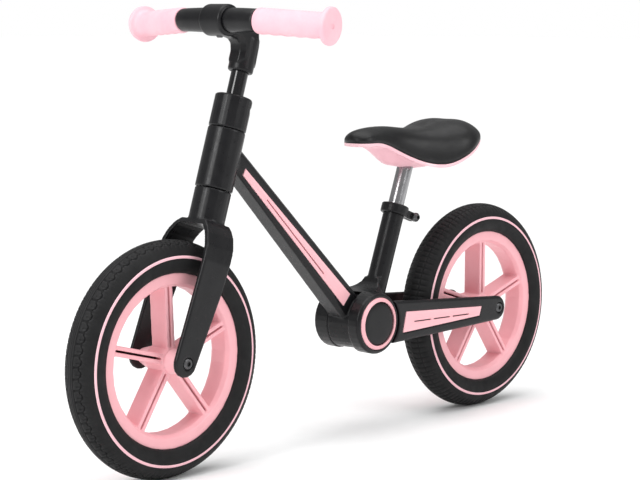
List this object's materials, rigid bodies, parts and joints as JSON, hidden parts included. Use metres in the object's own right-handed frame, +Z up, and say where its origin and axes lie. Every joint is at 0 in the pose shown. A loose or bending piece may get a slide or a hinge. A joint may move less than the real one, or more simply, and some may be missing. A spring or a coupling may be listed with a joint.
{
  "type": "balance bike",
  "caption": "Child's folding balance bike with a low step-through frame, a hub hinge in the middle, a steered fork and height-adjustable bars and saddle.",
  "frame": {"origin": "on the ground, midway between the two wheels and in the plane of the wheels", "axes": "+X forward, +Y to the rider's left, +Z up"},
  "size_m": [0.914, 0.3532, 0.5889],
  "materials": {
    "black_frame": "satin black powder coat",
    "black_plastic": "fine matt",
    "pink_plastic": "semi-gloss moulded",
    "pale_pink_plastic": "semi-matt moulded",
    "grip_rubber": "soft matt",
    "tyre_rubber": "matt with a narrow pink line near the rim",
    "bare_steel": "polished",
    "black_gloss_steel": "gloss black",
    "dark_fasteners": "blackened steel",
    "bronze": "sintered",
    "saddle_cover": "smooth artificial leather"
  },
  "bodies": {
    "rear_frame": {"seat_frame": "black_frame", "rear_arm_left": "black_frame", "rear_arm_right": "black_frame", "rear_arm_insert_left": "pink_plastic", "rear_arm_insert_right": "pink_plastic", "rear_axle": "bare_steel", "rear_axle_bolt_left": "dark_fasteners", "rear_axle_bolt_right": "dark_fasteners", "rear_spacer_left": "pink_plastic", "rear_spacer_right": "pink_plastic", "seat_clamp": "black_frame", "seat_clamp_bolt": "dark_fasteners", "hub_pivot_pin": "bare_steel", "hub_ring": "pink_plastic", "hub_far_cover": "black_plastic", "lock_spring": "bare_steel"},
    "rear_wheel": {"rear_wheel": "pink_plastic", "rear_tyre": "tyre_rubber", "rear_bearing_left": "bare_steel", "rear_bearing_right": "bare_steel"},
    "front_frame": {"front_frame": "black_frame", "down_tube_insert_left": "pink_plastic", "down_tube_insert_right": "pink_plastic", "hub_bush_left": "bronze", "hub_bush_right": "bronze", "headset_bearing_lower": "bare_steel", "headset_bearing_upper": "bare_steel"},
    "steering": {"fork": "black_frame", "front_axle": "bare_steel", "front_axle_bolt_left": "dark_fasteners", "front_axle_bolt_right": "dark_fasteners", "front_spacer_left": "pink_plastic", "front_spacer_right": "pink_plastic", "top_collar": "black_frame", "top_collar_bolt": "dark_fasteners"},
    "front_wheel": {"front_wheel": "pink_plastic", "front_tyre": "tyre_rubber", "front_bearing_left": "bare_steel", "front_bearing_right": "bare_steel"},
    "bars": {"bar_post": "black_gloss_steel", "stem": "black_plastic", "stem_bolt": "dark_fasteners", "handlebar": "black_gloss_steel", "bar_sleeve_left": "black_plastic", "bar_sleeve_right": "black_plastic", "grip_left": "grip_rubber", "grip_right": "grip_rubber"},
    "saddle": {"seat_post": "bare_steel", "saddle_base": "pale_pink_plastic", "saddle_pad": "saddle_cover"},
    "lock_button": {"lock_button": "black_plastic"}
  },
  "joints": [
    {"name": "fold", "type": "hinge", "parent": "rear_frame", "child": "front_frame", "pos_m": [-0.043, 0, 0.158], "axis": [-0.1771, 0.9842, 0], "range_deg": [0, 188]},
    {"name": "steering", "type": "hinge", "parent": "front_frame", "child": "steering", "pos_m": [0.222, 0, 0.356], "axis": [-0.3047, 0, 0.9524], "range_deg": [-40, 40]},
    {"name": "front_wheel_spin", "type": "hinge", "parent": "steering", "child": "front_wheel", "pos_m": [0.307, 0, 0.15], "axis": [0, 1, 0], "continuous": true},
    {"name": "rear_wheel_spin", "type": "hinge", "parent": "rear_frame", "child": "rear_wheel", "pos_m": [-0.307, 0, 0.15], "axis": [0, 1, 0], "continuous": true},
    {"name": "bar_height", "type": "slide", "parent": "steering", "child": "bars", "axis": [-0.3047, 0, 0.9524], "range_m": [-0.03, 0.06]},
    {"name": "seat_height", "type": "slide", "parent": "rear_frame", "child": "saddle", "axis": [-0.3437, 0, 0.9391], "range_m": [-0.045, 0.04]},
    {"name": "lock_press", "type": "slide", "parent": "rear_frame", "child": "lock_button", "axis": [0, -1, 0], "range_m": [0, 0.003], "stiffness_N_per_m": 800, "springref_m": -0.003}
  ]
}
